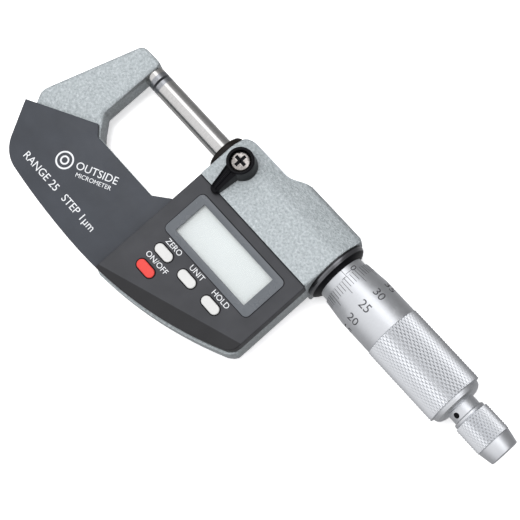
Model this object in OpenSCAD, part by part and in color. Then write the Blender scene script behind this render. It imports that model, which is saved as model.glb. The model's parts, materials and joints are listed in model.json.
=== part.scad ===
// Digital outside micrometer, 0 to 25 mm, lying on its back, shown open by 0.77 mm.
// X runs along the spindle from the anvil to the ratchet and X = 0 is the anvil's measuring face.
// Y points away from the belly of the C frame. Z is up, out of the display.
// All lengths are in millimetres.

/* [Spindle and anvil] */
// Opening between the measuring faces
gap = 0.77; // [0.2:0.01:2]
// Radius of the anvil and of the plain spindle
spindle_r = 3.25; // [3.1:0.05:3.25]
// Length of each carbide measuring tip
tip_l = 1.5; // [0.8:0.1:2]
// How far the anvil goes into the arm
anvil_seat = 7; // [4:0.5:8]
// Radius over the spindle screw
screw_r = 3.55; // [3.4:0.05:3.6]

/* [Frame] */
// Thickness of the C frame
slab_t = 8.6; // [8:0.2:8.6]
// X of the inner face of the anvil arm
arm_x = -3.2; // [-3.4:0.1:-3]
// X of the front face of the barrel boss
boss_x = 32.2; // [32:0.1:32.4]
// X of the rear face of the barrel
barrel_x = 77.1; // [77:0.1:77.1]
// Height of the barrel's front flat above the axis
barrel_front = 9.7; // [9.6:0.1:9.8]
// Depth of the barrel's back flat below the axis
barrel_back = 10.6; // [10.4:0.1:10.8]
// Half-height of the barrel above the axis
barrel_top = 11.5; // [11.3:0.1:11.8]
// Thickness of the insulating plates
plate_t = 1.7; // [1:0.1:2]

/* [Display housing] */
// Height of the front of the display housing
housing_z = 9.3; // [9.2:0.1:9.5]
// Wall of the display housing
housing_wall = 1.3; // [1:0.1:1.4]
// Y of the upper edge of the housing
housing_y = -10.2; // [-10.3:0.1:-10.2]
// Width of the window
window_w = 29.5; // [28:0.5:29.5]
// Height of the window
window_h = 10.9; // [10:0.1:10.9]
// Length of a button
button_l = 6.4; // [6:0.1:6.6]
// Width of a button
button_w = 3; // [2.8:0.1:3.2]
// How far a button stands out
button_proud = 0.5; // [0.3:0.1:0.7]

/* [Thimble and sleeve] */
// Radius of the graduated sleeve
sleeve_r = 7.45; // [7.3:0.05:7.45]
// Radius of the thimble's front edge
thimble_edge_r = 7.87; // [7.8:0.01:8]
// Radius of the plain thimble
thimble_r = 8.7; // [8.5:0.1:8.8]
// Radius over the thimble's knurl
knurl_r = 9; // [8.9:0.05:9.2]
// Radius of the ring at the rear of the barrel
ring_r = 10; // [9.9:0.05:10.2]

/* [Ratchet] */
// Radius over the ratchet's knurl
ratchet_r = 5.65; // [5.5:0.05:5.8]
// Radius of the ratchet's neck
neck_r = 4.45; // [4.3:0.05:4.6]
// Radius of the spanner hole in the neck
spanner_r = 0.9; // [0.7:0.05:1]

/* [Spindle lock] */
// X of the lock's axis
lock_x = 39.1; // [38.5:0.1:40]
// Distance from the lock's axis to the lever's tip
lever_l = 11.5; // [9:0.5:13]
// Radius of the lever's hub at its base
hub_r = 4.4; // [4.3:0.1:4.6]
// Height of the lever's hub
hub_h = 6.4; // [6:0.1:6.6]

/* [Hidden] */
$fn = 96;

e = 0.05;
run_fit = 0.03;
slab_z = slab_t / 2;

// The belly is two arcs that meet at its lowest point, and a third turns up to the tip.
belly_x = 22;
belly_low = -50.8;
belly_r_left = 250;
belly_r_right = 120;
corner_at = [-6.7, -38.1];
corner_r = 11;
frame_in = 0.3;
// How far the frame stands out past the display housing at the belly.
frame_rim = 0.7;

// Height of the belly at x, moved inwards by d.
function belly_y(x, d) =
  let (r = x > belly_x ? belly_r_right : belly_r_left)
  belly_low + r - sqrt(pow(r - d, 2) - pow(x - belly_x, 2));

// The belly from x0 to x1, moved inwards by d.
function belly(x0, x1, d, n = 14) =
  [for (i = [0:n]) let (x = x0 + (x1 - x0) * i / n) [x, belly_y(x, d)]];

// The turn from the belly up to the tip, moved inwards by d.
function corner(d) =
  [for (a = [262:-8.6:210]) corner_at + (corner_r - d) * [cos(a), sin(a)]];

// The same turn, from the tip to the belly; it lies further in towards the tip.
function corner_back(d) =
  [for (a = [210:8.6:262]) corner_at + (corner_r - d - (262 - a) / 40) * [cos(a), sin(a)]];

// Outline of the C frame, from the top of the anvil arm round the belly to the barrel.
frame_pts = concat([[-8.3, 3.6], [-9.7, 3.5], [-10.8, 3.1], [-11.6, 2.3], [-11.9, 1.4],
  [-21.3, -25.9], [-21.6, -27.2], [-21.5, -28.4], [-21, -29.6], [-19, -32.8]],
  corner_back(frame_in), belly(-7, 31, frame_in, 10), belly(33.4, 75, -frame_rim, 12),
  [[76.3, -38.1], [77, -36.9], [barrel_x, -35.7], [barrel_x, 0], [boss_x, 0],
  [boss_x, -20], [26.1, -24.6], [1.8, -24.6], [arm_x, -18.7], [arm_x, 3.6]]);
// Outline of the insulating plates.
plate_pts = concat([[-22.1, -33.2], [-1, -22.2], [1.8, -24.8], [26.1, -24.8],
  [boss_x - 0.1, -20.1]], belly(boss_x - 0.1, -8, 0, 10), corner(0));
// Outline of the display housing.
housing_pts = concat([[boss_x, housing_y], [barrel_x, housing_y], [barrel_x, -35],
  [76.85, -36.4], [76.2, -37.4]], belly(75.2, boss_x, 0));
// The same outline inside the walls.
cavity_pts = concat([[33.8, -11.8], [75.4, -11.8], [75.4, -35.4]],
  belly(74.2, 33.8, 1.7));
// Outline of the rear cover, set in from the frame's edge.
rear_pts = concat([[boss_x, housing_y], [75.2, housing_y], [75.2, -35.5]],
  belly(73.9, boss_x, 1.6));
// The same outline inside the walls.
rear_cavity_pts = concat([[33.8, -11.8], [73.6, -11.8], [73.6, -34.4]],
  belly(72.4, 33.8, 3.2));
// The barrel seen from the front: nose, ramp and rear part.
nose_top = 7.75;
ramp_x0 = 48.5;
ramp_x1 = 56.5;
function ramp_y(t) = nose_top + (barrel_top - nose_top) * t * t * (3 - 2 * t);
barrel_pts = concat([[boss_x, -10.3], [barrel_x, -10.3], [barrel_x, 10],
  [76.6, 11], [75.6, barrel_top]],
  [for (t = [1:-0.125:0]) [ramp_x0 + (ramp_x1 - ramp_x0) * t, ramp_y(t)]],
  [[36, nose_top], [34.4, 7.5], [33.1, 6.8], [boss_x, 5.6]]);
// Centres of the screws that clamp the housing and the rear cover to the frame.
cover_screw_at = [[36.6, -13.4], [72.9, -13.4], [72.9, -34.4], [36.8, -45.6]];
cover_screw_r = 1;
cover_head_r = 1.9;

// Cross-section of the barrel: flat front, a sloping shoulder, round top and back.
barrel_flat_y = 3.5;
barrel_side = barrel_top - barrel_flat_y;
shoulder = [[0.8, barrel_front], [1.7, barrel_front - 0.07], [2.6, barrel_front - 0.3],
  [10, 4.9], [10.8, 3.9], [11.3, 2.6], [barrel_top, 1.2], [barrel_top, 0]];
function back_arc() = [for (a = [-7.5:-7.5:-90])
  [barrel_flat_y + barrel_side * cos(a), barrel_back * sin(a)]];
barrel_section = concat([[-10.2, -barrel_back], [-10.2, barrel_front]], shoulder,
  back_arc());

bush_r = 5;
bush_x0 = 31.2;
bush_x1 = 48;
encoder_r = 8.6;
encoder_x = 56;
hub_bearing_r = 4.6;
key_x = 68;
key_r = 0.5;
thread_x = 73;
nut_x = 98;
sleeve_bore = 6.45;
sleeve_end = 110;
inner_sleeve_end = 112;
thimble_x = 82.5;
thimble_bore = sleeve_r + 0.07;
thimble_end = 127.1;
neck_x = 129.4;
knob_x = 132.45;
ratchet_end = 147.1;
axle_r = 2.5;
crown_cavity_r = 4.3;

window_cx = 54.65;
window_cy = -20.85;
bezel_x0 = 36.9;
bezel_x1 = 72.7;
bezel_y0 = -28.5;
bezel_y1 = -13.4;
bezel_corner = 1.6;
front_in = housing_z - housing_wall;
button_zero_at = [42.6, -33.1];
button_units_at = [52.8, -33.2];
button_hold_at = [63, -33.2];
button_power_at = [42.5, -39.9];
buttons_at = [button_zero_at, button_units_at, button_hold_at, button_power_at];
button_gap = 0.1;
board_z = slab_z;
board_t = 0.8;

battery_at = [62, -25];
battery_r = 5.8;
battery_z0 = -9.2;
battery_t = 5.4;
well_r = 8.1;
cover_disc_r = 8;
skirt_r = 6.9;
seal_major = 7.4;
seal_minor = 0.42;

port_x0 = 47;
port_x1 = 55;
port_y = -44.55;

lock_base_z = 9.8;
stud_r = 2.2;
pad_r = 2;
pad_z0 = 3.31;

// Turns a profile of [radius, x] points about the spindle's axis.
module turned(points) {
  rotate([0, 90, 0])
    rotate_extrude()
      polygon(points);
}

// A plain ring or disc about the spindle's axis.
module ring_x(r_in, r_out, x0, x1) {
  turned([[r_in, x0], [r_out, x0], [r_out, x1], [r_in, x1]]);
}

// A prism from an outline, between two heights.
module slab(points, z0, z1) {
  translate([0, 0, z0])
    linear_extrude(z1 - z0)
      polygon(points);
}

// A box from its low corner to its high corner.
module box(lo, hi) {
  translate(lo)
    cube([hi[0] - lo[0], hi[1] - lo[1], hi[2] - lo[2]]);
}

// An upright cylinder at a point of the XY plane.
module post(at, r, z0, z1) {
  translate([at[0], at[1], z0])
    cylinder(r = r, h = z1 - z0);
}

// A rounded-end bar, long side along X.
module stadium(at, l, w, z0, z1) {
  half = (l - w) / 2;
  post([at[0] - half, at[1]], w / 2, z0, z1);
  post([at[0] + half, at[1]], w / 2, z0, z1);
  box([at[0] - half, at[1] - w / 2, z0], [at[0] + half, at[1] + w / 2, z1]);
}

// A rectangle with round corners, between two heights.
module round_box(x0, y0, x1, y1, r, z0, z1) {
  post([x0 + r, y0 + r], r, z0, z1);
  post([x1 - r, y0 + r], r, z0, z1);
  post([x0 + r, y1 - r], r, z0, z1);
  post([x1 - r, y1 - r], r, z0, z1);
  box([x0 + r, y0, z0], [x1 - r, y1, z1]);
  box([x0, y0 + r, z0], [x1, y1 - r, z1]);
}

// Frame: one casting, the C-shaped arm and the barrel that carries the spindle.
module frame() {
  color("silver")
    difference() {
      union() {
        slab(frame_pts, -slab_z, slab_z);
        intersection() {
          translate([boss_x, 0, 0])
            rotate([90, 0, 90])
              linear_extrude(barrel_x - boss_x)
                polygon(barrel_section);
          slab(barrel_pts, -barrel_back - 1, barrel_front + 1);
        }
      }
      ring_x(0, spindle_r, arm_x - anvil_seat, arm_x + e);
      ring_x(0, bush_r, boss_x - e, bush_x1);
      ring_x(0, spindle_r + 0.35, bush_x1 - e, encoder_x + e);
      ring_x(0, encoder_r, encoder_x, barrel_x + e);
      post([lock_x, 0], stud_r + run_fit, 4, barrel_front + e);
      for (p = cover_screw_at)
        post(p, cover_screw_r, -slab_z - e, slab_z + e);
      box([41, -36, -1.5], [69, -16, slab_z + e]);
      post(battery_at, battery_r + 0.6, -slab_z - e, -3.2);
      post(battery_at, 1.5, -3.4, -1.4);
      box([57, -13, slab_z - 0.1], [58.6, -6.4, 5.6]);
    }
}

// Anvil: a pin held in the arm.
module anvil() {
  color("lightgray")
    ring_x(0, spindle_r, arm_x - anvil_seat, -tip_l);
}

// Anvil tip: the carbide measuring face.
module anvil_tip() {
  color("gray")
    ring_x(0, spindle_r, -tip_l, 0);
}

// Front insulating plate.
module front_plate() {
  color("slategray")
    slab(plate_pts, slab_z, slab_z + plate_t);
}

// Rear insulating plate.
module rear_plate() {
  color("slategray")
    slab(plate_pts, -slab_z - plate_t, -slab_z);
}

// Display housing: an open-backed moulding with a sloped lower edge.
module display_housing() {
  color("dimgray")
    difference() {
      union() {
        difference() {
          slab(housing_pts, slab_z, housing_z);
          slab(cavity_pts, slab_z - e, front_in);
          translate([43, -45.5, housing_z])
            rotate([0, 0, 18.7])
              rotate([12, 0, 0])
                translate([-14, -20, 0])
                  cube([70, 20, 6]);
        }
        for (p = cover_screw_at)
          post(p, cover_head_r, slab_z, front_in + 0.2);
      }
      round_box(bezel_x0, bezel_y0, bezel_x1, bezel_y1, bezel_corner, 7.6,
        housing_z + e);
      for (p = buttons_at)
        stadium(p, button_l + 2 * button_gap, button_w + 2 * button_gap, front_in - 0.5,
          housing_z + e);
      for (p = cover_screw_at)
        post(p, cover_screw_r, slab_z - e, 7.4);
      box([56.9, -12, slab_z - e], [58.7, housing_y + e, 5.6]);
    }
}

// Window bezel: the glossy surround of the display.
module window_bezel() {
  color("gray")
    difference() {
      round_box(bezel_x0, bezel_y0, bezel_x1, bezel_y1, bezel_corner, 7.6, 9.5);
      box([window_cx - window_w / 2, window_cy - window_h / 2, 7.5],
        [window_cx + window_w / 2, window_cy + window_h / 2, 9.6]);
      box([window_cx - window_w / 2 - 0.5, window_cy - window_h / 2 - 0.5, 7.5],
        [window_cx + window_w / 2 + 0.5, window_cy + window_h / 2 + 0.5, 8.9]);
    }
}

// Window lens: the clear pane over the display.
module window_lens() {
  color("white", 0.4)
    box([window_cx - window_w / 2 - 0.5, window_cy - window_h / 2 - 0.5, 8.1],
      [window_cx + window_w / 2 + 0.5, window_cy + window_h / 2 + 0.5, 8.9]);
}

// Liquid-crystal display.
module lcd_panel() {
  color("gainsboro")
    box([38.8, -27.7, 6.4], [70.6, -14, 7.5]);
}

// Zebra strips: the rubber connectors between the board and the display.
module zebra_strips() {
  color("black")
    for (y = [-27.6, -15.3])
      box([40, y, board_z + board_t], [69.3, y + 1.2, 6.4]);
}

// Circuit board.
module circuit_board() {
  color("green")
    slab([[38.8, -13.6], [70.8, -13.6], [70.8, -37.5], [60, -42], [38.8, -42]], board_z,
      board_z + board_t);
}

// Key switches: one under each button.
module key_switches() {
  color("silver")
    for (p = buttons_at) {
      box([p[0] - 2.3, p[1] - 1.4, board_z + board_t], [p[0] + 2.3, p[1] + 1.4, 6.6]);
      post(p, 0.9, 6.5, 7.1);
    }
}

// One button: a rounded bar with a flange that keeps it in the housing.
module button(at) {
  stadium(at, button_l, button_w, front_in - 0.35, housing_z + button_proud);
  stadium(at, button_l + 0.8, button_w + 0.8, front_in - 0.35, front_in - 0.1);
}

// Button that sets zero.
module button_zero() {
  color("white")
    button(button_zero_at);
}

// Button that changes the units.
module button_units() {
  color("white")
    button(button_units_at);
}

// Button that holds the reading.
module button_hold() {
  color("white")
    button(button_hold_at);
}

// Red button that switches on.
module button_power() {
  color("red")
    button(button_power_at);
}

// Rear cover: closes the back, and holds the battery well and the data port.
module rear_cover() {
  color("dimgray")
    difference() {
      union() {
        difference() {
          slab(rear_pts, -barrel_back, -slab_z);
          slab(rear_cavity_pts, -barrel_back + 1.5, -slab_z + e);
        }
        for (p = cover_screw_at)
          post(p, cover_head_r + 0.4, -barrel_back, -slab_z);
        post(battery_at, 9.3, -barrel_back, -slab_z);
        intersection() {
          box([port_x0 - 2, -48, -barrel_back], [port_x1 + 2, port_y + 3, -slab_z]);
          slab(rear_pts, -barrel_back, -slab_z);
        }
      }
      for (p = cover_screw_at) {
        post(p, cover_screw_r, -barrel_back - e, -slab_z + e);
        post(p, cover_head_r, -barrel_back - e, -9);
      }
      post(battery_at, well_r, -barrel_back - e, -8.4);
      post(battery_at, skirt_r + e, -8.5, -6.7);
      post(battery_at, battery_r + 0.25, -6.8, -slab_z + e);
      box([port_x0 - 1, -50, -9.9], [port_x1 + 1, port_y, -4.9]);
      box([port_x0, port_y - 0.1, -9], [port_x1, port_y + 3.1, -5.9]);
    }
}

// Cover screws: from the rear cover, through the frame, into the display housing.
module cover_screws() {
  color("silver")
    for (p = cover_screw_at)
      difference() {
        union() {
          post(p, cover_screw_r, -9.1, 7.2);
          post(p, cover_head_r, -10.3, -9);
        }
        box([p[0] - 1.2, p[1] - 0.25, -10.4], [p[0] + 1.2, p[1] + 0.25, -9.7]);
        box([p[0] - 0.25, p[1] - 1.2, -10.4], [p[0] + 0.25, p[1] + 1.2, -9.7]);
      }
}

// Battery: a silver-oxide button cell.
module battery() {
  color("lightgray")
    post(battery_at, battery_r, battery_z0, battery_z0 + battery_t);
}

// Battery contact: a strip under the cell and a post to the board.
module battery_contact() {
  color("gold") {
    post(battery_at, 4, battery_z0 + battery_t, -3.6);
    post(battery_at, 0.8, -3.7, board_z);
  }
}

// Battery seal: the ring under the battery cover.
module battery_seal() {
  color("black")
    translate([battery_at[0], battery_at[1], -8.86])
      rotate_extrude()
        translate([seal_major, 0])
          circle(r = seal_minor, $fn = 24);
}

// Battery cover: a disc with a coin slot and a screwed skirt.
module battery_cover() {
  color("dimgray")
    difference() {
      union() {
        post(battery_at, cover_disc_r, -10.5, -9.3);
        post(battery_at, skirt_r, -9.4, -6.9);
      }
      post(battery_at, battery_r + 0.3, -9.3, -6.8);
      box([battery_at[0] - 6, battery_at[1] - 0.9, -10.6],
        [battery_at[0] + 6, battery_at[1] + 0.9, -9.8]);
    }
}

// Data socket, inside the rear cover.
module data_socket() {
  color("black")
    difference() {
      box([port_x0, port_y + 1.3, -9], [port_x1, port_y + 7, -5.9]);
      box([port_x0 + 1, port_y + 1.2, -8.3], [port_x1 - 1, port_y + 5.5, -6.6]);
    }
}

// Data port cover: a soft plug with a flat outer lip.
module data_port_cover() {
  color("black") {
    box([port_x0 - 0.9, port_y - 1.4, -9.8], [port_x1 + 0.9, port_y - e, -5]);
    box([port_x0 + e, port_y - 0.1, -8.95], [port_x1 - e, port_y + 1.2, -5.95]);
  }
}

// Nose ring: the dark collar where the spindle leaves the barrel.
module nose_ring() {
  color("black")
    turned([[3.5, 29.1], [5.2, 29.1], [5.75, 29.3], [6.1, 29.8], [6.2, 30.4], [6.2, boss_x],
      [bush_r, boss_x], [bush_r, bush_x0], [4.8, bush_x0], [4.8, 30], [3.5, 30]]);
}

// Nose seal: the wiper inside the nose ring.
module nose_seal() {
  color("dimgray")
    ring_x(spindle_r + run_fit, 4.8, 30.1, 31.1);
}

// Front bush: the ground bearing of the spindle.
module front_bush() {
  color("lightgray")
    difference() {
      ring_x(spindle_r + run_fit, bush_r, bush_x0, bush_x1);
      post([lock_x, 0], pad_r + run_fit, 0, bush_r + e);
    }
}

// Encoder stator: the fixed disc with the transmitting pattern.
module encoder_stator() {
  color("green")
    ring_x(4.7, encoder_r - 0.1, 57.2, 58.4);
}

// Stator carrier: holds the hub of the rotor in the barrel.
module stator_carrier() {
  color("ivory")
    ring_x(hub_bearing_r + run_fit, encoder_r, 61, 65);
}

// Flex cable: from the stator to the circuit board.
module flex_cable() {
  color("orange")
    box([57.2, -14.05, board_z + board_t], [58.4, -6.8, board_z + board_t + 0.2]);
}

// Encoder rotor: the patterned disc that turns with the spindle.
module encoder_rotor() {
  color("green")
    ring_x(hub_bearing_r, 8.2, 58.9, 59.9);
}

// Rotor hub: turns with the spindle and lets it slide through.
module rotor_hub() {
  color("goldenrod")
    difference() {
      turned([[spindle_r + run_fit, 58.9], [hub_bearing_r, 58.9], [hub_bearing_r, 65.2],
        [5.4, 65.2], [5.4, 70], [spindle_r + run_fit, 70]]);
      translate([key_x, 0, 0])
        rotate([-90, 0, 0])
          cylinder(r = key_r, h = 6);
    }
}

// Rotor key: the pin that rides in the spindle's keyway.
module rotor_key() {
  color("silver")
    translate([key_x, 2.75, 0])
      rotate([-90, 0, 0])
        cylinder(r = key_r, h = 2.5);
}

// Ring washer: the thin steel band behind the rear ring.
module ring_washer() {
  color("silver")
    ring_x(sleeve_r + e, ring_r - 0.1, barrel_x, barrel_x + 0.5);
}

// Rear ring: the dark cap ring at the end of the barrel.
module rear_ring() {
  color("black")
    turned([[sleeve_r + e, barrel_x + 0.5], [ring_r, barrel_x + 0.5], [ring_r, 78.2],
      [9.6, 78.8], [9, 79.3], [8.3, 79.7], [7.7, 80], [sleeve_r + e, 80]]);
}

// Inner sleeve: the nut of the spindle screw, fixed in the barrel.
module inner_sleeve() {
  color("lightgray")
    turned([[3.75, 71], [encoder_r, 71], [encoder_r, barrel_x], [6.4, barrel_x],
      [6.4, 105], [5.6, 105], [5.6, inner_sleeve_end], [screw_r + e, inner_sleeve_end],
      [screw_r + e, nut_x], [3.75, nut_x]]);
}

// Sleeve: carries the millimetre scale and turns on the inner sleeve to set zero.
module sleeve() {
  color("silver")
    difference() {
      ring_x(sleeve_bore, sleeve_r, barrel_x, sleeve_end);
      translate([81.2, 0, 0])
        rotate([180, 0, 0])
          cylinder(r = 0.5, h = sleeve_r + 1, $fn = 32);
    }
}

// Adjusting nut: closes the slotted end of the inner sleeve on the screw.
module adjusting_nut() {
  color("gray")
    ring_x(5.6, 6.4, 105.2, 111);
}

// Spindle: ground front, screw, and the seat of the thimble.
module spindle() {
  color("silver")
    difference() {
      turned([[0, gap + tip_l], [spindle_r, gap + tip_l], [spindle_r, thread_x],
        [screw_r, thread_x + 0.3], [screw_r, 114], [3, 115], [3, 122], [0, 122]]);
      box([43, 2.6, -key_r - e], [70.5, 5, key_r + e]);
      ring_x(0, 1.6, 115.5, 122 + e);
    }
}

// Spindle tip: the carbide measuring face.
module spindle_tip() {
  color("gray")
    ring_x(0, spindle_r, gap, gap + tip_l);
}

// Thimble: graduated bevel, plain band and knurled grip.
module thimble() {
  color("silver")
    turned([[thimble_bore, thimble_x], [thimble_edge_r, thimble_x],
      [thimble_r - 0.02, 89.8], [thimble_r, 101.3], [knurl_r, 101.6],
      [knurl_r, thimble_end], [6.5, thimble_end], [6.5, 120], [3, 120], [3, 115],
      [thimble_bore, 115]]);
}

// Thimble end cap: the rounded shoulder behind the knurl.
module thimble_end_cap() {
  color("silver")
    turned([[2, 122], [6.5, 122], [6.5, thimble_end], [8, thimble_end], [8, 127.7],
      [7.7, 128.4], [7, 129], [6, neck_x], [2, neck_x]]);
}

// Ratchet base: screws into the spindle, with a neck for the spanner and an axle.
module ratchet_base() {
  color("silver")
    difference() {
      turned([[0, 115.6], [1.6, 115.6], [1.6, 122], [2, 122], [2, neck_x],
        [neck_r, neck_x], [neck_r, 132.4], [axle_r, 132.4], [axle_r, 143.5],
        [0, 143.5]]);
      ring_x(0, 1, 138, 143.5 + e);
      translate([130.9, 0, 0])
        rotate([42.5, 0, 0])
          translate([0, 0, 2.4])
            cylinder(r = spanner_r, h = 4, $fn = 48);
    }
}

// Ratchet crown: the toothed ring that slips at the measuring force.
module ratchet_crown() {
  color("gray")
    ring_x(axle_r + run_fit, crown_cavity_r, 132.5, 136);
}

// Ratchet knob: knurled grip with a tapered end.
module ratchet_knob() {
  color("silver")
    turned([[crown_cavity_r, knob_x], [4.9, knob_x], [5.12, 132.7], [5.12, 133.4],
      [5.2, 133.7], [ratchet_r, 133.75], [ratchet_r, 142.5], [5.45, 142.6], [4.6, 146.8],
      [4.4, ratchet_end], [3.6, ratchet_end], [3.6, 141], [axle_r + run_fit, 141],
      [axle_r + run_fit, 136], [crown_cavity_r, 136]]);
}

// Ratchet spring: the washer spring that loads the crown.
module ratchet_spring() {
  color("gray")
    turned([[2.6, 141], [3.5, 141.9], [3.5, 142.3], [2.6, 143.2]]);
}

// Ratchet screw: holds the knob on the axle.
module ratchet_screw() {
  color("dimgray")
    difference() {
      union() {
        ring_x(0, 1, 138.2, 143.6);
        ring_x(0, 3.2, 143.5, 145);
      }
      box([144.4, -2, -0.3], [145.1, 2, 0.3]);
    }
}

// Ratchet end cap: closes the knob.
module ratchet_end_cap() {
  color("silver")
    ring_x(0, 3.6, 146, ratchet_end);
}

// Lock lever: a hub with a ribbed finger lever.
module lock_lever() {
  z1 = lock_base_z + hub_h;
  color("black")
    translate([lock_x, 0, 0])
      difference() {
        union() {
          rotate_extrude()
            polygon([[0, lock_base_z], [hub_r, lock_base_z], [hub_r, 10.8], [4.2, 13],
              [4.05, z1 - 0.4], [3.75, z1], [0, z1]]);
          intersection() {
            union() {
              slab([[-2.25, 0], [2.25, 0], [1.35, 1.3 - lever_l], [-1.35, 1.3 - lever_l]],
                10, z1);
              post([0, 1.35 - lever_l], 1.35, 10, z1);
            }
            rotate([90, 0, 90])
              translate([0, 0, -3])
                linear_extrude(6)
                  polygon([[0, 9], [0, 15.6], [-3.4, 15.4], [1.3 - lever_l, 12.5],
                    [-lever_l - 1, 12], [-lever_l - 1, 9]]);
          }
        }
        post([0, 0], stud_r, lock_base_z - e, 14.5);
        post([0, 0], 3.2, 14.4, z1 + e);
      }
}

// Lock screw: cross-recessed screw through the hub.
module lock_screw() {
  color("silver")
    translate([lock_x, 0, 0])
      difference() {
        union() {
          post([0, 0], 1, 8, 14.5);
          rotate_extrude()
            polygon([[0, 14.4], [3.05, 14.4], [3.05, 15.1], [2.7, 15.5], [1.6, 15.8],
              [0, 15.9]]);
        }
        box([-1.9, -0.48, 14.9], [1.9, 0.48, 16]);
        box([-0.48, -1.9, 14.9], [0.48, 1.9, 16]);
      }
}

// Lock stud: the screw that the lever turns.
module lock_stud() {
  color("silver")
    difference() {
      post([lock_x, 0], stud_r, 5.5, 14.4);
      post([lock_x, 0], 1, 7.9, 14.4 + e);
    }
}

// Lock pad: the brass shoe that presses on the spindle.
module lock_pad() {
  color("goldenrod")
    post([lock_x, 0], pad_r, pad_z0, 5.4);
}

frame();
anvil();
anvil_tip();
front_plate();
rear_plate();
display_housing();
window_bezel();
window_lens();
lcd_panel();
zebra_strips();
circuit_board();
key_switches();
button_zero();
button_units();
button_hold();
button_power();
rear_cover();
cover_screws();
battery();
battery_contact();
battery_seal();
battery_cover();
data_socket();
data_port_cover();
nose_ring();
nose_seal();
front_bush();
encoder_stator();
stator_carrier();
flex_cable();
encoder_rotor();
rotor_hub();
rotor_key();
ring_washer();
rear_ring();
inner_sleeve();
sleeve();
adjusting_nut();
spindle();
spindle_tip();
thimble();
thimble_end_cap();
ratchet_base();
ratchet_crown();
ratchet_knob();
ratchet_spring();
ratchet_screw();
ratchet_end_cap();
lock_lever();
lock_screw();
lock_stud();
lock_pad();
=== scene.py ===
import bpy
import bmesh
import json
import math
from mathutils import Vector, Matrix


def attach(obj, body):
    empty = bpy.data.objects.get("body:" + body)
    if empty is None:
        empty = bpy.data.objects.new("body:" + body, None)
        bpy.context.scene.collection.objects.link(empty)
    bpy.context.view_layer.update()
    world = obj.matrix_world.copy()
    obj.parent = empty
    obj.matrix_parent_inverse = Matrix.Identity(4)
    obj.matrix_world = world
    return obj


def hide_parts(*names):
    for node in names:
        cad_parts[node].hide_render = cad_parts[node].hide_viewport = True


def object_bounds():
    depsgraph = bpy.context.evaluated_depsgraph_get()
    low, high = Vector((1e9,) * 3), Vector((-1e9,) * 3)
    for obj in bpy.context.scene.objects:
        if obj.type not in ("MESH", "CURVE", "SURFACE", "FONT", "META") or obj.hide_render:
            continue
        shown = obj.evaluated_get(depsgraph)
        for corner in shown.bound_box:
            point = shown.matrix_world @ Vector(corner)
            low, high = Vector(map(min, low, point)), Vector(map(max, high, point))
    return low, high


# Outside micrometer. X runs along the spindle to the ratchet, Y from the belly of the frame to the barrel and
# Z out of the display; the spindle's axis is y = z = 0. Shapes are written in mm.

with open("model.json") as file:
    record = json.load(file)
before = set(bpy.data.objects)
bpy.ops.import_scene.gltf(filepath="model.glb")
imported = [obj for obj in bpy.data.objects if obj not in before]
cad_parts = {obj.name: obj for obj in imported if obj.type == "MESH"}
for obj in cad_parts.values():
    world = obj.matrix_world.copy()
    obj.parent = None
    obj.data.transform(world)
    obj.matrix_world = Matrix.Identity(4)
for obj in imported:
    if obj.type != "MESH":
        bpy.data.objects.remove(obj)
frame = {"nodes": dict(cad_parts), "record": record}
cad_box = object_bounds()

MM = 0.001
scene = bpy.context.scene
nodes_of = frame["nodes"]


# ---------------------------------------------------------------- materials

TEXTURE_PER_METRE = 1000  # so that noise scales are per mm


def new_material(name):
    m = bpy.data.materials.new(name)
    m.use_nodes = True
    tree = m.node_tree
    return m, tree, tree.nodes["Principled BSDF"]


def add(tree, kind, **values):
    n = tree.nodes.new(kind)
    for key, v in values.items():
        setattr(n, key, v)
    return n


def coordinates(tree, stretch=(1, 1, 1)):
    tex = add(tree, "ShaderNodeTexCoord")
    mapping = add(tree, "ShaderNodeMapping")
    mapping.inputs["Scale"].default_value = tuple(TEXTURE_PER_METRE * s for s in stretch)
    tree.links.new(tex.outputs["Object"], mapping.inputs["Vector"])
    return mapping.outputs["Vector"]


def noise(tree, vector, scale, detail, rough=0.5):
    n = add(tree, "ShaderNodeTexNoise")
    n.inputs["Scale"].default_value = scale
    n.inputs["Detail"].default_value = detail
    n.inputs["Roughness"].default_value = rough
    tree.links.new(vector, n.inputs["Vector"])
    return n.outputs["Fac"]


def ramp(tree, fac, stops):
    r = add(tree, "ShaderNodeValToRGB")
    elements = r.color_ramp.elements
    while len(elements) < len(stops):
        elements.new(0.5)
    for element, (position, color) in zip(elements, stops):
        element.position = position
        element.color = (*color, 1)
    tree.links.new(fac, r.inputs["Fac"])
    return r.outputs["Color"]


def multiplied(tree, one, other):
    both = add(tree, "ShaderNodeMix", data_type="RGBA", blend_type="MULTIPLY")
    both.inputs["Factor"].default_value = 1.0
    tree.links.new(one, both.inputs["A"])
    tree.links.new(other, both.inputs["B"])
    return both.outputs["Result"]


def mottle(tree, bsdf, fac, color, spread):
    """Base colour a little darker and lighter than the given one."""
    stops = [(at, tuple(c * (1 + side * spread) for c in color)) for at, side in ((0.3, -1), (0.5, 0), (0.7, 1))]
    tree.links.new(ramp(tree, fac, stops), bsdf.inputs["Base Color"])


def uneven_gloss(tree, bsdf, fac, low, high):
    """Roughness from low to high."""
    tree.links.new(ramp(tree, fac, [(0.3, (low,) * 3), (0.7, (high,) * 3)]), bsdf.inputs["Roughness"])


def bump(tree, bsdf, height, strength, distance):
    b = add(tree, "ShaderNodeBump")
    b.inputs["Strength"].default_value = strength
    b.inputs["Distance"].default_value = distance
    tree.links.new(height, b.inputs["Height"])
    tree.links.new(b.outputs["Normal"], bsdf.inputs["Normal"])


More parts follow.
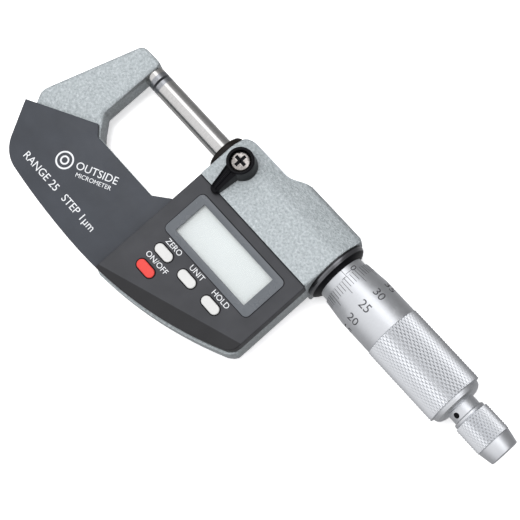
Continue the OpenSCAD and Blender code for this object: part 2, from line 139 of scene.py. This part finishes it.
def plastic(name, color, rough, spread=0.12, grain=0.5, ior=1.46):
    """Moulded plastic: fine texture, faint mottling and worn gloss."""
    m, tree, b = new_material(name)
    co = coordinates(tree)
    mottle(tree, b, noise(tree, co, 0.12, 4), color, spread)
    uneven_gloss(tree, b, noise(tree, co, 0.25, 3), rough - 0.06, rough + 0.06)
    b.inputs["IOR"].default_value = ior
    bump(tree, b, noise(tree, co, 2.2, 2), grain, 0.00003)
    return m


def steel(name, color, rough, streak, spread=0.10, strength=0.12):
    """Ground or turned metal: streaks along the cut, drawn out where the streak's number is small."""
    m, tree, b = new_material(name)
    cut = noise(tree, coordinates(tree, streak), 1.0, 4, 0.6)
    mottle(tree, b, cut, color, spread)
    uneven_gloss(tree, b, cut, rough * 0.8, rough * 1.2)
    b.inputs["Metallic"].default_value = 1.0
    bump(tree, b, cut, strength, 0.00001)
    return m


def hammertone(name):
    """Silver hammer-finish paint: mottled, with soft dimples."""
    m, tree, b = new_material(name)
    co = coordinates(tree)
    dimples = add(tree, "ShaderNodeMath", operation="MULTIPLY_ADD")
    tree.links.new(noise(tree, co, 4.0, 2, 0.6), dimples.inputs[0])
    dimples.inputs[1].default_value = 0.45
    tree.links.new(noise(tree, co, 1.35, 3, 0.6), dimples.inputs[2])
    stops = [(0.45, (0.235, 0.262, 0.27)), (0.72, (0.34, 0.373, 0.385)), (0.98, (0.49, 0.525, 0.54))]
    tree.links.new(ramp(tree, dimples.outputs[0], stops), b.inputs["Base Color"])
    b.inputs["Roughness"].default_value = 0.36
    bump(tree, b, dimples.outputs[0], 1.0, 0.0004)
    return m


def darker_belly(material):
    """Paints shade into the base colour of the surfaces that lean towards the belly, as on the sloped lower edge of
    the housing.
    """
    tree = material.node_tree
    b = tree.nodes["Principled BSDF"]
    base = b.inputs["Base Color"].links[0].from_socket
    split = add(tree, "ShaderNodeSeparateXYZ")
    tree.links.new(add(tree, "ShaderNodeTexCoord").outputs["Normal"], split.inputs[0])
    lean = add(tree, "ShaderNodeMath", operation="MULTIPLY")
    lean.inputs[1].default_value = -1.0
    tree.links.new(split.outputs["Y"], lean.inputs[0])
    # painted shade: from a lean of 0.06 to 0.16 the base colour falls to about 0.4 of itself
    shade_tint = ramp(tree, lean.outputs[0], [(0.06, (1.0, 1.0, 1.0)), (0.16, (0.42, 0.41, 0.40))])
    tree.links.new(multiplied(tree, base, shade_tint), b.inputs["Base Color"])
    return material


def glass(name):
    """Clear pane, let through by its alpha."""
    m, _, b = new_material(name)
    b.inputs["Base Color"].default_value = (0.95, 0.97, 0.97, 1)
    b.inputs["Roughness"].default_value = 0.03
    b.inputs["Alpha"].default_value = 0.12
    return m


def lcd(name):
    """Blank grey-green display face, faintly clouded."""
    m, tree, b = new_material(name)
    cloud = noise(tree, coordinates(tree), 0.05, 2)
    col = ramp(tree, cloud, [(0.3, (0.43, 0.465, 0.46)), (0.7, (0.46, 0.495, 0.49))])
    tree.links.new(col, b.inputs["Base Color"])
    b.inputs["Roughness"].default_value = 0.35
    return m


FRAME_PAINT = hammertone("frame_paint")
PLATE = plastic("plate_slate", (0.032, 0.036, 0.044), 0.42)
# the housing's base colour has painted shade on the faces that lean towards the belly
HOUSING = darker_belly(plastic("housing_charcoal_painted_shade", (0.036, 0.037, 0.041), 0.5, ior=1.4))
BEZEL = plastic("bezel_grey", (0.088, 0.096, 0.106), 0.25, spread=0.05, grain=0.1)
LCD = lcd("lcd_face")
GLASS = glass("clear_lens")
BLACK = plastic("black_plastic", (0.003, 0.003, 0.004), 0.34, ior=1.2)
RING_BLACK = plastic("ring_black", (0.009, 0.007, 0.006), 0.36, ior=1.28)
RUBBER = plastic("black_rubber", (0.02, 0.02, 0.02), 0.6)
KEY_WHITE = plastic("key_white", (0.52, 0.52, 0.51), 0.38, spread=0.03, grain=0.15)
KEY_RED = plastic("key_red", (0.56, 0.045, 0.036), 0.38, spread=0.05, grain=0.15)
BOARD = plastic("board_green", (0.03, 0.20, 0.08), 0.35)
FILM = plastic("flex_film", (0.65, 0.30, 0.05), 0.3)
IVORY = plastic("ivory_moulding", (0.70, 0.68, 0.60), 0.5)
GROUND = steel("ground_steel", (0.62, 0.61, 0.595), 0.16, (8, 0.6, 0.6), strength=0.03)
CARBIDE = steel("carbide", (0.36, 0.37, 0.39), 0.3, (4, 4, 4))
SATIN = steel("satin_chrome", (0.70, 0.715, 0.735), 0.42, (6, 0.6, 0.6), spread=0.05, strength=0.05)
TURNED = steel("turned_steel", (0.52, 0.52, 0.53), 0.32, (8, 0.5, 0.5))
NICKEL = steel("bright_nickel", (0.40, 0.375, 0.355), 0.24, (2, 2, 2), spread=0.3, strength=0.05)
# painted shade: the washer's steel is near black, standing in for the shadowed gap between the frame and the rear
# ring
WASHER_SHADE = steel("washer_steel_painted_shade", (0.04, 0.04, 0.042), 0.35, (3, 3, 3))
BAND_STEEL = steel("band_steel", (0.17, 0.17, 0.18), 0.2, (3, 3, 3), strength=0.03)
BRASS = steel("brass", (0.75, 0.58, 0.28), 0.3, (3, 3, 3))
SCALE_INK = plastic("scale_ink", (0.045, 0.045, 0.05), 0.5, spread=0.3)
WHITE_INK = plastic("white_ink", (0.62, 0.63, 0.64), 0.5, spread=0.03)

FINISH = {
    "frame": FRAME_PAINT, "anvil": GROUND, "anvil_tip": CARBIDE, "front_plate": PLATE, "rear_plate": PLATE,
    "display_housing": HOUSING, "window_bezel": BEZEL, "window_lens": GLASS, "lcd_panel": LCD,
    "zebra_strips": RUBBER, "circuit_board": BOARD, "key_switches": NICKEL, "button_zero": KEY_WHITE,
    "button_units": KEY_WHITE, "button_hold": KEY_WHITE, "button_power": KEY_RED, "rear_cover": HOUSING,
    "cover_screws": TURNED, "battery": NICKEL, "battery_contact": BRASS, "battery_seal": RUBBER,
    "battery_cover": HOUSING, "data_socket": BLACK, "data_port_cover": RUBBER, "nose_ring": RING_BLACK,
    "nose_seal": RUBBER, "front_bush": GROUND, "encoder_stator": BOARD, "stator_carrier": IVORY,
    "flex_cable": FILM, "encoder_rotor": BOARD, "rotor_hub": BRASS, "rotor_key": GROUND,
    "ring_washer": WASHER_SHADE, "rear_ring": BLACK, "inner_sleeve": TURNED, "sleeve": SATIN,
    "adjusting_nut": TURNED, "spindle": GROUND, "spindle_tip": CARBIDE, "thimble": SATIN,
    "thimble_end_cap": SATIN, "ratchet_base": SATIN, "ratchet_crown": TURNED, "ratchet_knob": SATIN,
    "ratchet_spring": TURNED, "ratchet_screw": TURNED, "ratchet_end_cap": SATIN, "lock_lever": BLACK,
    "lock_screw": NICKEL, "lock_stud": TURNED, "lock_pad": BRASS,
}


# ---------------------------------------------------------------- pieces that stand for a node

# node: the piece that stands for it, the width of its edges' rounding in mm, and the rounding's segments
ROUNDED = {
    "frame": ("frame_casting", 1.3, 6), "front_plate": ("front_plate_moulding", 0.22, 3),
    "rear_plate": ("rear_plate_moulding", 0.22, 3), "display_housing": ("display_housing_moulding", 0.3, 3),
    "window_bezel": ("window_bezel_moulding", 0.1, 2), "rear_cover": ("rear_cover_moulding", 0.3, 2),
    "battery_cover": ("battery_cover_disc", 0.2, 3), "data_port_cover": ("data_port_plug", 0.3, 3),
    "button_zero": ("key_zero", 0.3, 4), "button_units": ("key_units", 0.3, 4),
    "button_hold": ("key_hold", 0.3, 4), "button_power": ("key_power", 0.3, 4),
    "window_lens": ("window_pane", 0.08, 2), "lcd_panel": ("lcd_module", 0.08, 2),
    "lock_screw": ("lock_screw_head", 0.06, 2), "cover_screws": ("cover_screw_set", 0.06, 2),
}
UNMERGED = {"window_bezel", "rear_cover"}  # flat faces with holes: their triangles are kept as they are
ROUNDED_FROM = 36  # degrees: edges sharper than this are rounded
FLAT_WITHIN = 0.6  # degrees: faces this close to one plane become one
SHARP_FROM = 32  # degrees: edges sharper than this stay sharp in smooth shading
HOUSING_SHARP_FROM = 7  # degrees, because the housing's slope leans by little
MERGE_WITHIN = 2e-6  # m

ARM_MAX_X, ARM_MIN_Y = 2.5, -33  # the arm's edges lie within these
ARM_FACE_Z = 4  # the edges of its flat faces lie beyond this, in front and behind
ARM_TOP_Y = 3.5
BARREL_REAR_X, BARREL_NOSE_X = 77, (32, 33)
BARREL_OUTSIDE_R = 7.0  # edges nearer to the axis are bores
KEY_TOP_Z = 9.3  # the housing's face
COVER_OUTSIDE_Z = -10.4
PARTLY = 0.4  # share of the rounding for edges that are less worn


def body_of_node(name):
    bodies = frame["record"]["behaviour"]["bodies"]
    return next(b for b, members in bodies.items() if name in members)


def new_object(name, mesh, material):
    mesh.materials.clear()
    mesh.materials.append(material)
    o = bpy.data.objects.new(name, mesh)
    scene.collection.objects.link(o)
    return o


def shade(o, sharp_from=SHARP_FROM):
    o.data.shade_smooth()
    o.data.set_sharp_from_angle(angle=math.radians(sharp_from))
    return o


def stand_for(o, name):
    """The piece rides with its node's body and replaces it; the node is hidden."""
    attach(o, body_of_node(name))
    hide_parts(name)


def frame_weight(a, b):
    """How much of the frame's rounding an edge takes: the arm's front fully, its back and the barrel's ends less."""
    across = abs(a.x - b.x) < 0.01
    on_arm = max(a.x, b.x) < ARM_MAX_X and min(a.y, b.y) > ARM_MIN_Y
    if on_arm and (min(a.z, b.z) > ARM_FACE_Z or (across and min(a.y, b.y) > ARM_TOP_Y)):
        return 1.0
    if on_arm and max(a.z, b.z) < -ARM_FACE_Z:
        return PARTLY
    at_barrel_end = a.x > BARREL_REAR_X or BARREL_NOSE_X[0] < a.x < BARREL_NOSE_X[1]
    outside = min(math.hypot(p.y, p.z) for p in (a, b)) > BARREL_OUTSIDE_R
    return PARTLY if across and at_barrel_end and outside else 0.0


def edge_weight(name, a, b):
    """How much of its node's rounding a sharp edge takes; edges hidden inside stay sharp."""
    if name == "frame":
        return frame_weight(a, b)
    if name.startswith("button"):
        return 1.0 if min(a.z, b.z) > KEY_TOP_Z else 0.0
    if name == "rear_cover":
        return 1.0 if max(a.z, b.z) < COVER_OUTSIDE_Z else 0.0
    return 1.0


def rounded_node(name):
    """A copy of the node with its sharp edges rounded."""
    piece, width, segments = ROUNDED[name]
    bm = bmesh.new()
    bm.from_mesh(nodes_of[name].data)
    bmesh.ops.remove_doubles(bm, verts=bm.verts, dist=MERGE_WITHIN)
    if name not in UNMERGED:
        bmesh.ops.dissolve_limit(bm, angle_limit=math.radians(FLAT_WITHIN), verts=bm.verts, edges=bm.edges)
    mesh = bpy.data.meshes.new(piece)
    layer = bm.edges.layers.float.new("bevel_weight_edge")
    for e in bm.edges:
        if len(e.link_faces) == 2 and e.calc_face_angle(0) > math.radians(ROUNDED_FROM):
            e[layer] = edge_weight(name, *[v.co / MM for v in e.verts])
    bm.to_mesh(mesh)
    bm.free()
    o = new_object(piece, mesh, FINISH[name])
    bevel = o.modifiers.new("bevel", "BEVEL")
    bevel.limit_method = "WEIGHT"
    bevel.width = width * MM
    bevel.segments = segments
    bevel.use_clamp_overlap = False
    bevel.loop_slide = name not in UNMERGED
    bevel.miter_outer = "MITER_ARC"
    done = bpy.data.meshes.new_from_object(o.evaluated_get(bpy.context.evaluated_depsgraph_get()))
    o.modifiers.clear()
    o.data = done
    done.name = piece
    shade(o, HOUSING_SHARP_FROM if name == "display_housing" else SHARP_FROM)
    stand_for(o, name)


def solid(name, verts, faces, material):
    """A closed piece with its faces turned outwards; its points are in metres."""
    mesh = bpy.data.meshes.new(name)
    mesh.from_pydata(verts, [], faces)
    bm = bmesh.new()
    bm.from_mesh(mesh)
    bmesh.ops.recalc_face_normals(bm, faces=bm.faces)
    bm.to_mesh(mesh)
    bm.free()
    return shade(new_object(name, mesh, material))


# ---------------------------------------------------------------- turned and knurled pieces

THIMBLE_STEPS, KNOB_STEPS, BAND_STEPS = 100, 72, 96
THIMBLE_PROFILE = [
    (82.55, 7.52), (82.5, 7.58), (82.5, 7.82), (82.55, 7.87), (89.6, 8.66), (90.0, 8.68), (101.3, 8.7),
    (101.45, 8.62), (101.6, 127.0, 9.0, 0.33, 26), (127.1, 8.7), (127.1, 6.5), (120, 6.5), (120, 3), (115, 3),
    (115, 7.52)]
KNOB_PROFILE = [
    (132.55, 4.2), (132.45, 4.3), (132.45, 4.85), (132.7, 5.1), (133.3, 5.12), (133.5, 5.0), (133.62, 5.12),
    (133.75, 142.45, 5.66, 0.34, 10), (142.6, 5.3), (142.75, 5.4), (146.8, 4.62), (147.0, 4.5), (147.1, 4.3),
    (147.1, 3.65), (147.0, 3.6), (141, 3.6), (141, 2.6), (136, 2.6), (136, 4.2)]
BAND_PROFILE = [(77.7, 9.8), (77.7, 10.03), (78.2, 10.03), (78.8, 9.65), (78.8, 9.5)]


def lathe(name, profile, steps, material):
    """A closed profile turned about the spindle axis.

    A profile entry is (x, r) or a knurl (x0, x1, r, depth, rows). A knurl's points stand where row + step
    is even, and each of its squares is split from valley to valley.
    """
    rings = []
    for entry in profile:
        if len(entry) == 2:
            rings.append((*entry, 0, None))
            continue
        x0, x1, r, depth, rows = entry
        rings += [(x0 + (x1 - x0) * i / rows, r, depth, i) for i in range(rows + 1)]
    verts, faces = [], []
    for x, r, depth, row in rings:
        for j in range(steps):
            here = r if row is None else r - depth * ((row + j) % 2)
            a = 2 * math.pi * j / steps
            verts.append((x * MM, here * math.sin(a) * MM, here * math.cos(a) * MM))
    for i, ring in enumerate(rings):
        after = (i + 1) % len(rings)
        row, next_row = ring[3], rings[after][3]
        for j in range(steps):
            k = (j + 1) % steps
            a, b, c, d = i * steps + j, after * steps + j, after * steps + k, i * steps + k
            if row is None or next_row is None:
                faces.append((a, b, c, d))
            elif (row + j) % 2:
                faces += [(a, b, c), (a, c, d)]
            else:
                faces += [(a, b, d), (b, c, d)]
    return solid(name, verts, faces, material)


def build_turned():
    """The knurled grips, and the bright band on the rear ring, whose inner part lies in the ring."""
    stand_for(lathe("thimble_grip", THIMBLE_PROFILE, THIMBLE_STEPS, SATIN), "thimble")
    stand_for(lathe("ratchet_grip", KNOB_PROFILE, KNOB_STEPS, SATIN), "ratchet_knob")
    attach(lathe("rear_ring_band", BAND_PROFILE, BAND_STEPS, BAND_STEEL), body_of_node("rear_ring"))


# ---------------------------------------------------------------- marks

FONT_CAP = 0.69  # capital height over font size
LETTER_DEPTH = 0.04
WRAP_SLICE = 0.4  # letters wrapped on a turned surface are cut into slices this high
LINE_WIDTH = 0.14
LINE_SUNK, LINE_PROUD = -0.03, 0.025


class Marks:
    """Thin solid marks gathered into one piece; every point is in mm."""

    def __init__(self):
        self.verts, self.faces = [], []

    def add(self, points, faces):
        base = len(self.verts)
        self.verts += [tuple(c * MM for c in p) for p in points]
        self.faces += [tuple(base + i for i in f) for f in faces]

    def block(self, x0, x1, y0, y1, z0, z1, place=lambda x, y, z: (x, y, z)):
        """A box between the given planes, put where place takes its corners."""
        corners = [(x0, y0), (x1, y0), (x1, y1), (x0, y1)]
        self.add([place(x, y, z) for z in (z0, z1) for x, y in corners],
                 [(0, 1, 2, 3), (4, 5, 6, 7), (0, 1, 5, 4), (1, 2, 6, 5), (2, 3, 7, 6), (3, 0, 4, 7)])

    def words(self, text, cap, place, wrapped=False):
        """Raised lettering with capitals cap high."""
        data = bpy.data.curves.new("lettering", "FONT")
        data.body = text
        data.size = cap / FONT_CAP
        data.align_x = data.align_y = "CENTER"
        data.extrude = LETTER_DEPTH / 2
        data.resolution_u = 4
        o = bpy.data.objects.new("lettering", data)
        scene.collection.objects.link(o)
        mesh = bpy.data.meshes.new_from_object(o.evaluated_get(bpy.context.evaluated_depsgraph_get()))
        bpy.data.objects.remove(o)
        bpy.data.curves.remove(data)
        bm = bmesh.new()
        bm.from_mesh(mesh)
        bpy.data.meshes.remove(mesh)
        bmesh.ops.remove_doubles(bm, verts=bm.verts, dist=1e-4)
        cut = -cap
        while wrapped and cut < cap:
            bmesh.ops.bisect_plane(bm, geom=bm.verts[:] + bm.edges[:] + bm.faces[:], plane_co=(0, cut, 0),
                                   plane_no=(0, 1, 0), dist=1e-5)
            cut += WRAP_SLICE
        bm.verts.index_update()
        self.add([place(*p.co) for p in bm.verts], [[p.index for p in f.verts] for f in bm.faces])
        bm.free()

    def piece(self, name, material, body):
        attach(solid(name, self.verts, self.faces, material), body)


def on_plane(x, y, z, turn=0.0):
    c, s = math.cos(math.radians(turn)), math.sin(math.radians(turn))
    return lambda u, v, w: (x + u * c - v * s, y + u * s + v * c, z + w)


def on_turned(x, angle, radius):
    """Wrapped on a turned surface; the angle runs from the display side towards the barrel's top."""
    def place(u, v, w):
        r = radius(x + u)
        a = math.radians(angle) + v / r
        return x + u, (r + w) * math.sin(a), (r + w) * math.cos(a)
    return place


def joined(count, loops, closed=True):
    """Faces between neighbouring loops of count points each, and between the last loop and the first if closed."""
    return [(a * count + i, a * count + (i + 1) % count, b * count + (i + 1) % count, b * count + i)
            for a, b in ((a, (a + 1) % loops) for a in range(loops if closed else loops - 1)) for i in range(count)]


def circle(radius, steps):
    angles = [2 * math.pi * i / steps for i in range(steps)]
    return [(radius * math.cos(a), radius * math.sin(a)) for a in angles]


def round_ring(cx, cy, r0, r1, z0, z1, steps=48):
    points = [(cx + u, cy + v, z) for r, z in ((r0, z0), (r1, z0), (r1, z1), (r0, z1)) for u, v in circle(r, steps)]
    return points, joined(steps, 4)


def square_ring(x0, y0, x1, y1, corner, width, z0, z1):
    """A ring of the given width round a rectangle with rounded corners."""
    steps = 6  # round each corner
    points = []
    for grow, z in ((0, z0), (width, z0), (width, z1), (0, z1)):
        for ax, ay, start in ((x1 - corner, y1 - corner, 0), (x0 + corner, y1 - corner, 90),
                              (x0 + corner, y0 + corner, 180), (x1 - corner, y0 + corner, 270)):
            for i in range(steps + 1):
                a = math.radians(start + 90 * i / steps)
                points.append((ax + (corner + grow) * math.cos(a), ay + (corner + grow) * math.sin(a), z))
    return points, joined(4 * (steps + 1), 4)


# ---------------------------------------------------------------- scales

DATUM = 4  # degrees from the display side to the datum line
DIVISIONS = 50
DIVISION_AT_DATUM = 27  # the tool is stored open by 0.77 mm
DIVISION_ANGLE = 360 / DIVISIONS
THIMBLE_EDGE = 82.52
ZERO_X = 81.73  # the sleeve's zero mark
RANGE = 25
NUMERALS_AT = 29  # degrees, beside the sleeve's marks


def thimble_radius(x):
    """A cone up to x 89.8, then almost straight."""
    return 7.87 + (x - 82.5) * 0.81 / 7.3 if x < 89.8 else 8.68 + (x - 89.8) * 0.02 / 11.5


def sleeve_radius(_):
    return 7.45


def build_scales():
    half = LINE_WIDTH / 2
    thimble = Marks()
    for k in range(DIVISIONS):
        angle = DATUM + (k - DIVISION_AT_DATUM) * DIVISION_ANGLE
        length = 4.6 if k % 5 == 0 else 2.9
        thimble.block(THIMBLE_EDGE, THIMBLE_EDGE + length, -half, half, LINE_SUNK, LINE_PROUD,
                      on_turned(0, angle, thimble_radius))
        if k % 5 == 0:
            thimble.words(f"{k:02d}", 2.6, on_turned(92.3, angle, thimble_radius), wrapped=True)
    thimble.piece("thimble_graduations", SCALE_INK, "spindle")

    sleeve = Marks()
    on_sleeve = on_turned(0, DATUM, sleeve_radius)
    sleeve.block(80.0, 109.8, -half, half, LINE_SUNK, LINE_PROUD, on_sleeve)
    for k in range(RANGE + 1):
        x = ZERO_X + k
        for side, at, length in ((1, x, 1.9 if k % 5 == 0 else 1.3), (-1, x + 0.5, 1.2)):
            if at > 109:  # past the sleeve's end
                continue
            for i in range(4):  # short stretches, so that the mark follows the surface round
                near, far = (0.25 + length * i / 4) * side, (0.25 + length * (i + 1) / 4) * side
                sleeve.block(at - half, at + half, min(near, far), max(near, far), LINE_SUNK, LINE_PROUD, on_sleeve)
        if k % 5 == 0:
            sleeve.words(str(k), 2.0, on_turned(x - 0.1, NUMERALS_AT, sleeve_radius), wrapped=True)
    sleeve.piece("sleeve_graduations", SCALE_INK, "frame")


# ---------------------------------------------------------------- printing, and painted shadow where mouldings meet

PLATE_PRINT_Z, KEY_PRINT_Z = 6.01, 9.31
TITLE_TURN = 25  # degrees, of the two-line title on the plate
EMBLEM_XY = (0.6, -36.6)
# label, the label's middle, the key's middle
KEYS = (
    ("ZERO", (43.4, -29.95), (42.6, -33.1)), ("UNIT", (53.5, -30.0), (52.8, -33.2)),
    ("HOLD", (63.7, -30.0), (63.0, -33.2)), ("ON/OFF", (43.4, -36.5), (42.5, -39.9)),
)
KEY_HALF_LENGTH, KEY_HALF_WIDTH = 3.2, 1.5


def build_print():
    plate = Marks()
    plate.words("RANGE 25", 2.3, on_plane(-1.6, -43.9, PLATE_PRINT_Z))
    plate.words("STEP 1\u00b5m", 2.3, on_plane(15.6, -43.9, PLATE_PRINT_Z))
    plate.words("OUTSIDE", 2.3, on_plane(10.3, -32.2, PLATE_PRINT_Z, TITLE_TURN))
    plate.words("MICROMETER", 1.3, on_plane(11.4, -34.6, PLATE_PRINT_Z, TITLE_TURN))
    for r0, r1 in ((2.3, 2.8), (0.9, 1.4)):
        plate.add(*round_ring(*EMBLEM_XY, r0, r1, PLATE_PRINT_Z - 0.02, PLATE_PRINT_Z + 0.02))
    plate.piece("plate_lettering", WHITE_INK, "frame")
    keys = Marks()
    for text, at, _ in KEYS:
        keys.words(text, 1.65, on_plane(*at, KEY_PRINT_Z))
    keys.piece("key_lettering", WHITE_INK, "frame")


def build_seams():
    """Dark shadow lines where the mouldings meet."""
    seam_shade = Marks()
    bezel = (36.9, -28.5, 72.7, -13.4, 1.6, 0.16, 9.2, 9.33)
    seam_shade.add(*square_ring(*bezel))
    for _, _, (x, y) in KEYS:
        seam_shade.add(*square_ring(x - KEY_HALF_LENGTH, y - KEY_HALF_WIDTH, x + KEY_HALF_LENGTH, y + KEY_HALF_WIDTH,
                               1.499, 0.3, 9.2, 9.34))
    plate_end = (31.95, 32.22, -49.9, -20.4, 5.9, 6.06)
    barrel_foot = (32.4, 77.0, -10.34, -10.12, 9.2, 9.74)
    for seam in (plate_end, barrel_foot):
        seam_shade.block(*seam)
    seam_shade.piece("painted_shadow_lines", BLACK, "frame")


# ---------------------------------------------------------------- lock lever, and painted shadow in small recesses

LOCK_X = 39.1  # the lock screw's axis
HUB_STEPS = 72
# (radius, height), round the section of the hub with its raised ring
HUB_PROFILE = [
    (2.05, 9.8), (4.25, 9.8), (4.4, 9.95), (4.4, 10.7), (4.3, 11.4), (4.2, 13.0), (4.1, 14.6), (4.08, 15.7),
    (4.03, 15.95), (3.92, 16.12), (3.8, 16.2), (3.45, 16.2), (3.3, 16.12), (3.22, 15.95), (3.2, 15.7), (3.2, 14.4),
    (2.05, 14.4)]
# (y, half width, height of the top, depth of the channel), from the hub to the arm's tip
ARM_STATIONS = [
    (-3.0, 2.2, 15.55, 1.0), (-3.6, 2.12, 15.4, 1.0), (-5.0, 1.95, 14.85, 1.0), (-8.0, 1.6, 13.55, 1.0),
    (-9.9, 1.42, 12.75, 1.0), (-10.25, 1.4, 12.62, 0.5), (-10.6, 1.34, 12.5, 0.0), (-11.0, 1.1, 12.35, 0.0),
    (-11.3, 0.75, 12.15, 0.0), (-11.5, 0.25, 11.8, 0.0)]
ARM_BOTTOM = 10.05
HOLE_STEPS = 24


def arm_section(y, w, top, sink):
    """Across the arm: two raised rims, the channel between them and a rib in its middle."""
    rim, soft = min(0.42, 0.36 * w), min(1, w)
    half = [(-w, ARM_BOTTOM), (-w, top - 0.3), (-w + 0.08, top - 0.08), (-w + 0.2 * soft, top), (-w + rim, top),
            (-w + rim + 0.12 * soft, top - 0.55 * sink), (-0.22 * w, top - 0.55 * sink),
            (-0.13 * w, top - 0.2 * sink)]
    return [(LOCK_X + u, y, z) for u, z in half + [(-u, z) for u, z in reversed(half)]]


def build_lever():
    """Tapered hub with a raised ring, and the arm."""
    lever = Marks()
    lever.add([(LOCK_X + u, v, z) for r, z in HUB_PROFILE for u, v in circle(r, HUB_STEPS)],
              joined(HUB_STEPS, len(HUB_PROFILE)))
    sections = [arm_section(*station) for station in ARM_STATIONS]
    count, total = len(sections[0]), len(sections[0]) * len(sections)
    ends = [tuple(range(count)), tuple(range(total - count, total))]
    lever.add(sum(sections, []), ends + joined(count, len(sections), closed=False))
    stand_for(solid("clamp_lever", lever.verts, lever.faces, BLACK), "lock_lever")


def build_screw_cross():
    """Painted shadow: dark filling of the lock screw's cross recess, and a dark ring round its middle."""
    half_length, half_width, bottom, top = 1.87, 0.46, 14.92, 15.3
    cross = Marks()
    for a, b in ((half_length, half_width), (half_width, half_length)):
        cross.block(LOCK_X - a, LOCK_X + a, -b, b, bottom, top)
    cross.add(*round_ring(LOCK_X, 0, 0.3, 0.95, top, top + 0.15, HOLE_STEPS))
    cross.piece("lock_screw_painted_shadow", BLACK, "lock_lever")


def build_neck_hole():
    """Painted shadow: a dark disc at the bottom of the spanner hole in the neck before the ratchet."""
    x, radius, bottom, top, turn = 130.9, 0.88, 3.4, 4.15, math.radians(42.5)
    c, s = math.cos(turn), math.sin(turn)
    hole = Marks()
    hole.add([(x + u, v * c - h * s, h * c + v * s) for h in (bottom, top) for u, v in circle(radius, HOLE_STEPS)],
             [tuple(range(HOLE_STEPS)), tuple(range(HOLE_STEPS, 2 * HOLE_STEPS))]
             + joined(HOLE_STEPS, 2, closed=False))
    hole.piece("neck_hole_shadow", BLACK, "spindle")


# ---------------------------------------------------------------- stage

FLOOR_HALF = 3.0  # m


def build_stage():
    z, h = cad_box[0].z, FLOOR_HALF
    mesh = bpy.data.meshes.new("floor")
    mesh.from_pydata([(-h, -h, z), (h, -h, z), (h, h, z), (-h, h, z)], [], [(0, 1, 2, 3)])
    m, _, b = new_material("floor_pale")
    b.inputs["Base Color"].default_value = (0.95, 0.95, 0.95, 1)
    b.inputs["Roughness"].default_value = 0.9
    b.inputs["Emission Color"].default_value = (1, 1, 1, 1)
    b.inputs["Emission Strength"].default_value = 0.4
    o = new_object("floor", mesh, m)
    o.visible_glossy = False
    o.visible_diffuse = False


def build_key_light():
    data = bpy.data.lights.new("key", "AREA")
    data.shape = "RECTANGLE"
    data.size, data.size_y = 0.26, 0.26
    data.energy = 3.3
    o = bpy.data.objects.new("key", data)
    scene.collection.objects.link(o)
    place, target = Vector((0.0, -0.06, 0.72)), Vector((0.06, -0.01, 0))
    o.location = place
    o.rotation_euler = (target - place).to_track_quat("-Z", "Y").to_euler()
    o.visible_glossy = False


# degrees round the spindle axis from the display side, and how bright the studio is there
STUDIO_BANDS = [(-180, 0.16), (-135, 0.21), (-108, 0.20), (-88, 0.34), (-60, 0.50), (-12, 0.53), (2, 0.50),
                (9, 0.95), (30, 0.95), (44, 0.22), (75, 0.13), (112, 0.13), (135, 0.22), (180, 0.20)]
# how far a direction leans along the spindle, and what is left of the light there
STUDIO_ENDS = [(0.0, (1, 1, 1)), (0.68, (1, 1, 1)), (0.87, (0.40, 0.40, 0.39)), (1.0, (0.10, 0.10, 0.10))]


def build_studio():
    """A studio seen as bands round the spindle axis: bright above, pale on the belly side, dim on the other."""
    world = bpy.data.worlds.new("studio")
    world.use_nodes = True
    tree = world.node_tree
    split = add(tree, "ShaderNodeSeparateXYZ")
    tree.links.new(add(tree, "ShaderNodeTexCoord").outputs["Generated"], split.inputs[0])
    angle = add(tree, "ShaderNodeMath", operation="ARCTAN2")
    tree.links.new(split.outputs["Y"], angle.inputs[0])
    tree.links.new(split.outputs["Z"], angle.inputs[1])
    turn = add(tree, "ShaderNodeMath", operation="MULTIPLY_ADD")
    turn.inputs[1].default_value = 0.5 / math.pi
    turn.inputs[2].default_value = 0.5
    tree.links.new(angle.outputs[0], turn.inputs[0])
    sky = ramp(tree, turn.outputs[0], [(a / 360 + 0.5, (v, v, v * 1.02)) for a, v in STUDIO_BANDS])
    across = add(tree, "ShaderNodeMath", operation="ABSOLUTE")
    tree.links.new(split.outputs["X"], across.inputs[0])
    ends = ramp(tree, across.outputs[0], STUDIO_ENDS)
    background = tree.nodes["Background"]
    tree.links.new(multiplied(tree, sky, ends), background.inputs["Color"])
    background.inputs["Strength"].default_value = 2.0
    scene.world = world


def build_camera():
    """Above the display, tipped towards the ratchet, with the spindle running down to the right."""
    eye = Vector((159.4, -38.1, 409.4)) * MM
    target = Vector((60.5, -13.8, 0)) * MM
    roll = 0.85  # radians about the view
    forward = (target - eye).normalized()
    right = forward.cross(Vector((-math.sin(roll), math.cos(roll), 0))).normalized()
    up = right.cross(forward)
    data = bpy.data.cameras.new("camera")
    data.sensor_width = 36.0
    data.lens = 101.75
    data.clip_start = 0.01
    data.clip_end = 20
    camera = bpy.data.objects.new("camera", data)
    scene.collection.objects.link(camera)
    camera.matrix_world = Matrix((
        (right.x, up.x, -forward.x, eye.x),
        (right.y, up.y, -forward.y, eye.y),
        (right.z, up.z, -forward.z, eye.z),
        (0, 0, 0, 1)))
    scene.camera = camera


for node_name, node in nodes_of.items():
    node.data.materials.clear()
    node.data.materials.append(FINISH[node_name])
for node_name in ROUNDED:
    rounded_node(node_name)
build_turned()
build_scales()
build_print()
build_lever()
build_seams()
build_screw_cross()
build_neck_hole()
build_stage()
build_studio()
build_key_light()
build_camera()
scene.view_settings.view_transform = "Standard"
